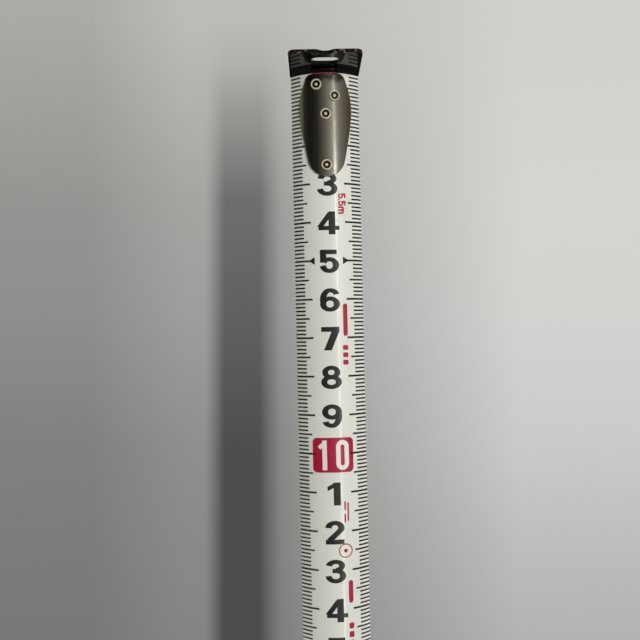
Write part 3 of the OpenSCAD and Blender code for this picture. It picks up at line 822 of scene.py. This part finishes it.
def lathe(profile, turns=48):
    """A profile of (radius, height) turned about its axis: x = r cos, y = r sin, z = height."""
    p = np.asarray(profile, float)
    a = np.linspace(0, 2 * math.pi, turns, endpoint=False)[None, :]
    r = p[:, :1]
    return np.stack(np.broadcast_arrays(r * np.cos(a), r * np.sin(a), p[:, 1:]), axis=-1)


def rivet_profile(head, tail):
    """Rolled rim, a groove and a domed core at the head, a short shank, and a flat dome at the tail. The core is part
    of an ellipse: its radius goes by the sine of an angle and its height by the cosine."""
    head_radius = sizes().rivet_radius / MM
    rim = arc(head_radius - 0.21, head + 0.22, 0.21, 0.27, -50, 160, 20)
    groove = [[GROOVE_OUT, head + 0.1], [GROOVE_OUT - 0.05, head + 0.04], [GROOVE_IN + 0.05, head + 0.04]]
    a = np.radians(np.linspace(90, 0, 12))
    core = np.stack([GROOVE_IN * np.sin(a), head + 0.08 + 0.2 * np.cos(a)], axis=-1)
    dome = arc(0, tail, head_radius * 0.85, 0.36, -90, 0, 10)
    return np.concatenate([dome, [[SHANK_RADIUS, tail], [SHANK_RADIUS, head - 0.1]], rim, groove, core])


def rivet_axes():
    """For each rivet: where the blade's arc has its centre, and the axis, which is the arc's radius at s."""
    radius = sizes().blade_radius / MM
    u, s = np.array(RIVETS).T
    a = s / radius
    middle = np.stack([zero_x() - u, 0 * u, CREST_Z + radius + 0 * u], axis=-1)
    return middle, np.stack([0 * a, np.sin(a), -np.cos(a)], axis=-1)


class TAPE_OT_rivets(bpy.types.Operator):
    """Build the four tubular rivets"""
    bl_idname = "tape.rivets"
    bl_label = "Rivets"

    def execute(self, context):
        """Each lathe form is stood on the arc along the rivet's axis."""
        radius = sizes().blade_radius / MM
        head = radius + 0.04 + sizes().plate_sheet / MM
        tail = radius - sizes().blade_thickness / MM - sizes().hook_sheet / MM - 0.12
        form = lathe(rivet_profile(head, tail))
        parts = []
        for middle, out in zip(*rivet_axes()):
            along_x, side = np.array([1.0, 0, 0]), np.array([0, -out[2], out[1]])
            points = middle + form[..., :1] * along_x + form[..., 1:2] * side + form[..., 2:] * out
            parts.append((points, quads(*form.shape[:2], wrap_cols=True)))
        obj = make_piece("rivets_rolled", parts, rivet_metal(), "blade")
        self.mark_grooves(obj.data)
        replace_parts(obj, "rivets")
        return {"FINISHED"}

    def mark_grooves(self, mesh):
        """Writes an attribute that is 1 in a rivet's groove: it comes from each point's distance to the nearest
        rivet's axis, which is the length of its offset less the part along the axis."""
        middle, out = rivet_axes()
        offset = points_of(mesh)[:, None] - middle
        far = np.linalg.norm(offset - (offset * out).sum(-1, keepdims=True) * out, axis=-1).min(axis=1)
        # level marks the groove where rivet_metal paints shade over the metal.
        level = np.clip((GROOVE_OUT + 0.06 - far) / 0.04, 0, 1) * np.clip((far - GROOVE_IN + 0.1) / 0.06, 0, 1)
        mesh.attributes.new("groove", "FLOAT", "POINT").data.foreach_set("value", level)


def rounded_loop(points, n=7):
    """An outline of (y, z, radius) corners with each corner drawn as an arc that touches both sides."""
    out = []
    p = np.array(points, float)
    for i in range(len(p)):
        b, a, c = p[i, :2], p[i - 1, :2], p[(i + 1) % len(p), :2]
        u = (a - b) / np.linalg.norm(a - b)
        v = (c - b) / np.linalg.norm(c - b)
        half = math.acos(float(np.clip(u @ v, -1, 1))) / 2
        r = p[i, 2]
        o = b + (u + v) / np.linalg.norm(u + v) * r / math.sin(half)
        t0, t1 = b + u * r / math.tan(half) - o, b + v * r / math.tan(half) - o
        a0 = math.atan2(t0[1], t0[0])
        turn = math.atan2(t0[0] * t1[1] - t0[1] * t1[0], t0 @ t1)
        angle = a0 + turn * np.linspace(0, 1, n)
        out.append(o + r * np.stack([np.cos(angle), np.sin(angle)], axis=-1))
    return np.concatenate(out)


def flat_plate(loops, x, thick, roll):
    """A plate with rolled edges from outlines in the YZ plane: a filled curve, extruded and bevelled, made a mesh."""
    curve = bpy.data.curves.new("outline", "CURVE")
    curve.dimensions = "2D"
    curve.fill_mode = "BOTH"
    curve.extrude = (thick / 2 - roll) * MM
    curve.bevel_depth = roll * MM
    curve.offset = -roll * MM
    curve.bevel_resolution = 3
    for loop in loops:
        spline = curve.splines.new("POLY")
        spline.points.add(len(loop) - 1)
        flat = np.concatenate([loop * MM, np.zeros((len(loop), 1)), np.ones((len(loop), 1))], axis=1)
        spline.points.foreach_set("co", flat.ravel())
        spline.use_cyclic_u = True
    holder = placed("outline", curve)
    bpy.context.view_layer.update()
    mesh = bpy.data.meshes.new_from_object(holder.evaluated_get(bpy.context.evaluated_depsgraph_get()))
    bpy.data.objects.remove(holder)
    co = points_of(mesh)
    points = np.stack([x + thick / 2 + co[:, 2], co[:, 0], co[:, 1]], axis=-1)
    faces = [list(p.vertices) for p in mesh.polygons]
    bpy.data.meshes.remove(mesh)
    return points, faces


class TAPE_OT_hook(bpy.types.Operator):
    """Build the end hook: the lip with its slot, notch and ears, and the leg in the blade's hollow"""
    bl_idname = "tape.hook"
    bl_label = "End hook"

    def execute(self, context):
        """The lip is a plate with a slot: its outline has a notch in the free edge and an ear on each side."""
        thick = sizes().hook_sheet / MM
        low, high, half = HOOK_LOW[2], HOOK_HIGH[2], HOOK_HIGH[1]
        bridge = CREST_Z + BRIDGE_RISE
        right = [(0.7, low + NOTCH_DEPTH, 0.8), (NOTCH_HALF, low, 1.4), (half, low, 1.9), (half, high, 1.4),
                 (EAR_START, high, 1.2), (EAR_START, bridge, 1.1)]
        outer = rounded_loop([(-half, low, 1.9), (-NOTCH_HALF, low, 1.4), (-0.7, low + NOTCH_DEPTH, 0.8)] + right
                             + [(-EAR_START, bridge, 1.1), (-EAR_START, high, 1.2), (-half, high, 1.4)])
        middle = CREST_Z - SLOT_DROP
        slot = rounded_loop([(y * SLOT_HALF[0], middle + z * SLOT_HALF[1], 1.9)
                             for y, z in ((-1, -1), (1, -1), (1, 1), (-1, 1))], 11)
        lip = flat_plate([outer, slot], zero_x(), thick, 0.1)
        obj = make_piece("hook_lip", [lip, self.leg(thick)], gloss_black(), "hook")
        obj.modifiers.new("flat faces", "WEIGHTED_NORMAL").keep_sharp = True
        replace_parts(obj, "hook")
        return {"FINISHED"}

    def leg(self, thick):
        """The leg is a band in the hollow: for each u a closed ring (under side, edge, upper side, edge). Near the
        zero mark the ring turns down through a quarter circle into the lip."""
        radius = sizes().blade_radius / MM
        outer = radius - sizes().blade_thickness / MM - 0.02
        bend = 0.3
        u = np.concatenate([np.linspace(27.6, 3.0, 50), np.linspace(2.9, bend, 8)])[:, None]
        swell = (plate_half(4.2) - NECK_HALF - 0.45) * np.clip((u - 1.9) / 1.9, 0, 1) ** 2
        half = np.maximum(np.where(u > 3.8, plate_half(u + 0.4) - 0.45, NECK_HALF + swell), 0.15)
        across = np.linspace(-1, 1, 25)[None, :]
        a = across * half / radius
        phi = np.linspace(0, math.pi / 2, 9)[1:, None]
        neck = across * NECK_HALF / radius
        sheets = []
        for r, reach in ((outer, bend), (outer - thick, bend + thick)):
            flat = np.broadcast_arrays(zero_x() - u, r * np.sin(a), CREST_Z + radius - r * np.cos(a))
            base = CREST_Z + radius - outer * np.cos(neck) - bend
            turned = np.stack(np.broadcast_arrays(zero_x() - bend + reach * np.sin(phi), outer * np.sin(neck),
                                                  base + reach * np.cos(phi)), axis=-1)
            down = turned[-1:].copy()
            down[..., 2] = CREST_Z - 1.2
            sheets.append(np.concatenate([np.stack(flat, axis=-1), turned, down]))
        rings = np.concatenate([sheets[0], sheets[1][:, ::-1]], axis=1)
        return rings, rod(rings)


# ---- the case: moulded and pressed pieces from the frame, with their edges broken ----
def broken_edges(node, material, width):
    """A copy of a CAD node, its points merged and flat faces joined, with every sharp edge bevelled when a width is
    given.
    """
    source = frame["nodes"][node]
    mesh = source.data.copy()
    work = bmesh.new()
    work.from_mesh(mesh)
    bmesh.ops.remove_doubles(work, verts=work.verts, dist=2e-6)
    bmesh.ops.dissolve_limit(work, angle_limit=math.radians(0.6), verts=work.verts, edges=work.edges)
    work.to_mesh(mesh)
    work.free()
    mesh.polygons.foreach_set("use_smooth", [True] * len(mesh.polygons))
    mesh.materials.clear()
    mesh.materials.append(material)
    mesh.set_sharp_from_angle(angle=math.radians(33))
    obj = placed(node + "_finished", mesh)
    if width:
        bevel = obj.modifiers.new("broken edges", "BEVEL")
        bevel.width = width * MM
        bevel.segments = 3
        bevel.limit_method = "ANGLE"
        bevel.angle_limit = math.radians(33)
        bevel.harden_normals = True
        bevel.use_clamp_overlap = True
    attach(obj, source["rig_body"])
    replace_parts(obj, node)


class TAPE_OT_case(bpy.types.Operator):
    """Finish the shells, grips, shoe, badge, bumper and guide"""
    bl_idname = "tape.case"
    bl_label = "Case"

    def execute(self, context):
        for node in ("case_shell_right", "case_shell_left"):
            broken_edges(node, moulded("shell_plastic"), 0.28)
        for node in ("grip_right", "grip_left", "grip_band", "hook_bumper"):
            broken_edges(node, rubber(), 0.45)
        broken_edges("base_shoe", moulded("dark_plastic"), 0.3)
        broken_edges("mouth_guide", moulded("dark_plastic"), 0.12)
        broken_edges("badge", spun_metal(), 0.25)
        return {"FINISHED"}


class TAPE_OT_metalwork(bpy.types.Operator):
    """Finish the belt clip, screws and strap pin"""
    bl_idname = "tape.metalwork"
    bl_label = "Clip and screws"

    def execute(self, context):
        broken_edges("belt_clip", brushed("clip_steel"), 0.22)
        broken_edges("clip_screw", brushed("screw_steel"), 0.2)
        broken_edges("case_screws", brushed("screw_steel"), 0.15)
        broken_edges("strap_pin", brushed("clip_steel"), 0.3)
        return {"FINISHED"}


class TAPE_OT_lock(bpy.types.Operator):
    """Finish the thumb lock and its brake"""
    bl_idname = "tape.lock"
    bl_label = "Lock"

    def execute(self, context):
        broken_edges("lock_button", moulded("lock_plastic"), 0.45)
        broken_edges("lock_carrier", moulded("lock_plastic"), 0.2)
        broken_edges("brake_shoe", rubber(), 0.1)
        broken_edges("lock_spring", brushed("blued_steel"), 0)
        return {"FINISHED"}


class TAPE_OT_reel(bpy.types.Operator):
    """Wind the blade on the reel and finish the reel's own pieces"""
    bl_idname = "tape.reel"
    bl_label = "Reel"

    def execute(self, context):
        for node in ("reel_drum", "reel_cover"):
            broken_edges(node, moulded("pale_plastic"), 0.15)
        broken_edges("reel_post", moulded("pale_plastic"), 0.2)
        for node in ("side_disc_right", "side_disc_left"):
            broken_edges(node, moulded("fibre"), 0)
        broken_edges("power_spring", brushed("blued_steel"), 0)
        self.coil()
        return {"FINISHED"}

    def coil(self):
        """The wound blade is a spiral band: radius grows in a straight line with the angle, from the drum out."""
        thick = sizes().blade_thickness / MM
        outer = (COIL_HIGH[2] - COIL_LOW[2]) / 2 - thick
        half = COIL_HIGH[1]
        t = np.linspace(0, 1, COIL_LAPS * 48 + 1)
        a = -math.pi / 2 - 2 * math.pi * COIL_LAPS * (1 - t)
        r = COIL_INNER + (outer - COIL_INNER) * t
        corner = ((-half, 0), (half, 0), (half, thick), (-half, thick))
        rings = np.stack([np.stack([REEL[0] + (r + up) * np.cos(a), y + 0 * a, REEL[2] + (r + up) * np.sin(a)],
                                   axis=-1) for y, up in corner], axis=1)
        obj = make_piece("blade_wound", [(rings, rod(rings))], blade_coat(), "reel")
        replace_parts(obj, "blade_coil")


class TAPE_OT_grip_ribs(bpy.types.Operator):
    """Raise the ribs on the side grips"""
    bl_idname = "tape.grip_ribs"
    bl_label = "Grip ribs"

    def execute(self, context):
        """Ribs run from the grip's ends to its round opening, whose edge at height z is a chord of its circle."""
        low, high = corners("grip_right")
        face = low[1]
        opening = 22.9
        parts = {"right": [], "left": []}
        for z in np.arange(low[2] + 3.2, high[2] - 12.5, RIB_STEP):
            edge = max(math.sqrt(max(opening ** 2 - (z - REEL[2]) ** 2, 0)), 9.0)
            lean = max(0.0, z - 24) * math.tan(math.radians(11))
            for x0, x1 in ((low[0] + 1.5, -edge), (edge, high[0] - 1.7 - lean)):
                if x1 - x0 > 2.4:
                    parts["right"].append(self.rib(x0, x1, z, face))
                    parts["left"].append(self.rib(x0, x1, z, -face))
        for side, found in parts.items():
            make_piece("grip_ribs_" + side, found, rubber(), "case")
        return {"FINISHED"}

    def rib(self, x0, x1, z, face):
        """A flattened capsule: an ellipse across, whose size falls off by a quarter circle at both ends."""
        t = np.linspace(0, 1, 17)[:, None]
        end = 0.9 / (x1 - x0)
        size = np.maximum(np.sqrt(1 - np.clip(1 - np.minimum(t, 1 - t) / end, 0, 1) ** 2), 0.02)
        a = np.linspace(0, 2 * math.pi, 16, endpoint=False)[None, :]
        rings = np.stack(np.broadcast_arrays(x0 + (x1 - x0) * t, face + 0.55 * size * np.cos(a),
                                             z + 0.8 * size * np.sin(a)), axis=-1)
        return rings, rod(rings)


# ---- the studio ----
def standing(right, up, back, place):
    """The matrix of something that faces against its back axis, at a place in millimetres."""
    made = np.eye(4)
    made[:3] = np.stack([right, up, back, np.array(place) * MM], axis=-1)
    return Matrix(made.tolist())


def view_matrix():
    """The camera stands under the blade and looks up. Its tilt is three turns in the blade's own axes
    (across, along, away from the camera), which become the row's Y, minus X and Z."""
    rx, ry, rz = (math.radians(a) for a in VIEW_TILT)
    turn = Matrix.Rotation(rz, 3, "Z") @ Matrix.Rotation(ry, 3, "Y") @ Matrix.Rotation(rx, 3, "X")
    right, down, ahead = (np.array((-row[1], row[0], row[2])) for row in turn)
    return standing(right, -down, -ahead, (zero_x() - VIEW_PLACE[1], VIEW_PLACE[0], CREST_Z - VIEW_PLACE[2]))


def soft_light(name, place, target, size, power, tint=(1, 1, 1), glossy=True):
    """A rectangular light at a place in millimetres, facing a target."""
    light = bpy.data.lights.new(name, "AREA")
    light.shape = "RECTANGLE"
    light.size, light.size_y = size[0] * MM, size[1] * MM
    light.energy = power
    light.color = tint
    obj = placed(name, light)
    place, target = np.array(place, float), np.array(target, float)
    back = (place - target) / np.linalg.norm(place - target)
    side = np.array([1.0, 0, 0]) - back * back[0]
    side /= np.linalg.norm(side)
    obj.matrix_world = standing(side, np.cross(back, side), back, place)
    obj.visible_camera = False
    obj.visible_glossy = glossy


class TAPE_OT_studio(bpy.types.Operator):
    """Set the table top, the lights, the pale surroundings and the camera"""
    bl_idname = "tape.studio"
    bl_label = "Studio"

    def execute(self, context):
        self.table()
        self.surroundings(context.scene)
        middle = (zero_x() - 70, 0, CREST_Z)
        aim = (zero_x() - 10, 0, CREST_Z)
        soft_light("under_key", (aim[0], 185, -385), aim, (240, 160), 1.33, (1, 0.99, 0.955), False)
        soft_light("under_fill", (middle[0], -260, -380), middle, (520, 330), 0.03, (0.93, 0.97, 1), False)
        strips = (("under_strip", -88, 70, 11, 9.0), ("under_tail", -118, -88, 7, 5.0),
                  ("under_spot", -154, -140, 16, 5.0), ("under_box", 70, 520, 20, 5.5))
        for name, first, last, wide, radiance in strips:
            place = (zero_x() - (first + last) / 2, 144, -395)
            area = (last - first) * wide * MM * MM
            soft_light(name, place, (place[0], 0, CREST_Z), (last - first, wide), radiance * math.pi * area)
        soft_light("top_key", (200, -330, 520), (0, 0, 35), (420, 420), 2.4, (1, 0.98, 0.95))
        soft_light("top_fill", (-320, 300, 300), (0, 0, 35), (420, 420), 1.0, (0.95, 0.98, 1))
        camera = bpy.data.cameras.new("view")
        camera.lens = VIEW_LENS
        camera.sensor_width = 36
        camera.clip_start = 0.01
        obj = placed("view", camera)
        obj.matrix_world = view_matrix()
        context.scene.camera = obj
        return {"FINISHED"}

    def table(self):
        """The table top ends just in front of the case, so that the blade stands out over its edge."""
        edge = CASE_FRONT + 4.5
        thick = sizes().slab / MM
        mesh = bpy.data.meshes.new("table")
        x0, x1, y = edge - 420, edge, 260
        points = [(x, side * y, z) for z in (-thick, -0.05) for x, side in ((x0, -1), (x1, -1), (x1, 1), (x0, 1))]
        faces = [(0, 3, 2, 1), (4, 5, 6, 7), (0, 1, 5, 4), (1, 2, 6, 5), (2, 3, 7, 6), (3, 0, 4, 7)]
        mesh.from_pydata((np.array(points) * MM).tolist(), [], faces)

        def write(r):
            grain = r.noise(500, 3)
            return {"Base_Color": r.mix(r.noise(12, 3), colours().table, shade(colours().table, 0.96)),
                    "Roughness": 0.55 + grain * 0.1}
        mesh.materials.append(finish("table_top", write))
        obj = placed("table", mesh)
        bevel = obj.modifiers.new("round", "BEVEL")
        bevel.width = 0.002
        bevel.segments = 4

    def surroundings(self, scene):
        """Behind the blade the camera sees a pale wall that darkens downwards, with the blade's soft shadow beside
        it. Reflections see a dim room under the blade, with brown to one side and dark green to the other."""
        world = bpy.data.worlds.new("room")
        scene.world = world
        world.use_nodes = True
        r = Recipe(world.node_tree)
        x, y, z = r.axes("Generated")
        up = z.maths("MAXIMUM", 0.05)
        side = y / up
        back = (x / up) * -1.0
        across = side + back * 0.0225 + 0.4857
        down = back - side * 0.0221 + 0.5098
        left = r.ramp(down, (0.03, 0.5), (0.31, 0.375), (0.5, 0.335), (0.7, 0.27), (1, 0.23))
        right = r.ramp(down, (0.03, 0.63), (0.31, 0.66), (0.5, 0.645), (0.7, 0.59), (0.85, 0.51), (1, 0.45))
        wide = r.ramp(across, (0.44, 0.0), (0.81, 1.0))
        wall = (left + (right - left) * wide) * r.ramp(across, (0.14, 0.8), (0.29, 1.0))
        depth = r.ramp(down, (0.03, 0.0), (0.1, 0.07), (0.156, 0.24), (0.31, 0.58), (0.5, 0.65), (0.7, 0.72),
                       (1, 0.69))
        band = r.ramp(across, (0.322, 0.0), (0.35, 1.0), (0.406, 1.0), (0.44, 0.12), (0.5, 0.0))
        wall = wall * (1 - band * depth)
        tint = r.mix(down, (1.02, 1.0, 0.95), (1.0, 1.0, 1.0))
        wall = r.mix(1.0, tint, wall, "MULTIPLY")
        seen = r.mix(z.above(0.72, 0.12), (0.62, 0.61, 0.585), wall)
        angle = y.maths("ARCTAN2", z * -1.0)
        place = angle * (1 / math.pi) + 0.5
        level = r.ramp(place, (0.2, 0.03), (0.214, 0.8), (0.23, 0.05), (0.306, 0.012), (0.411, 0.03), (0.478, 0.15),
                       (0.533, 0.3), (0.58, 0.5), (0.62, 0.5), (0.67, 0.3), (0.72, 0.2), (0.79, 0.12), (1, 0.1))
        tint = r.mix(place.above(0.74, 0.06), (1.0, 0.96, 0.88), (1.0, 0.8, 0.52))
        tint = r.mix(1 - place.above(0.26, 0.04), tint, (0.92, 1.0, 0.5))
        room = r.mix(1.0, tint, level, "MULTIPLY")
        hollow = z.above(0.82, 0.06) * (x * -1.0).above(0.2, 0.08)
        room_top = r.mix(hollow, (0.5, 0.5, 0.49), (0.03, 0.03, 0.034))
        sky = r.mix(z.above(0.0, 0.25), room, room_top)
        sight = r.add("LightPath").outputs["Is Camera Ray"]
        r.add("OutputWorld", Surface=r.add("Background", Color=r.mix(sight, sky, seen), Strength=1.0).outputs[0])
        scene.view_settings.view_transform = "Standard"


class TAPE_PT_panel(bpy.types.Panel):
    """Lists the steps in the order that main runs them."""
    bl_label = "Pocket tape measure"
    bl_idname = "TAPE_PT_panel"
    bl_space_type = "VIEW_3D"
    bl_region_type = "UI"
    bl_category = "Tape"

    def draw(self, context):
        for step in STEPS:
            self.layout.operator(step.bl_idname)
        for group in (context.scene.tape_sizes, context.scene.tape_colours):
            for key in group.bl_rna.properties.keys():
                if key != "rna_type" and key != "name":
                    self.layout.prop(group, key)


STEPS = (TAPE_OT_studio, TAPE_OT_blade, TAPE_OT_scale, TAPE_OT_plate, TAPE_OT_rivets, TAPE_OT_hook, TAPE_OT_case,
         TAPE_OT_grip_ribs, TAPE_OT_metalwork, TAPE_OT_lock, TAPE_OT_reel)
CLASSES = (TapeSizes, TapeColours) + STEPS + (TAPE_PT_panel,)


def register():
    for cls in CLASSES:
        bpy.utils.register_class(cls)
    bpy.types.Scene.tape_sizes = PointerProperty(type=TapeSizes)
    bpy.types.Scene.tape_colours = PointerProperty(type=TapeColours)


def unregister():
    del bpy.types.Scene.tape_colours
    del bpy.types.Scene.tape_sizes
    for cls in reversed(CLASSES):
        bpy.utils.unregister_class(cls)


def main():
    register()
    for step in STEPS:
        group, name = step.bl_idname.split(".")
        getattr(getattr(bpy.ops, group), name)()


if __name__ == "__main__":
    main()
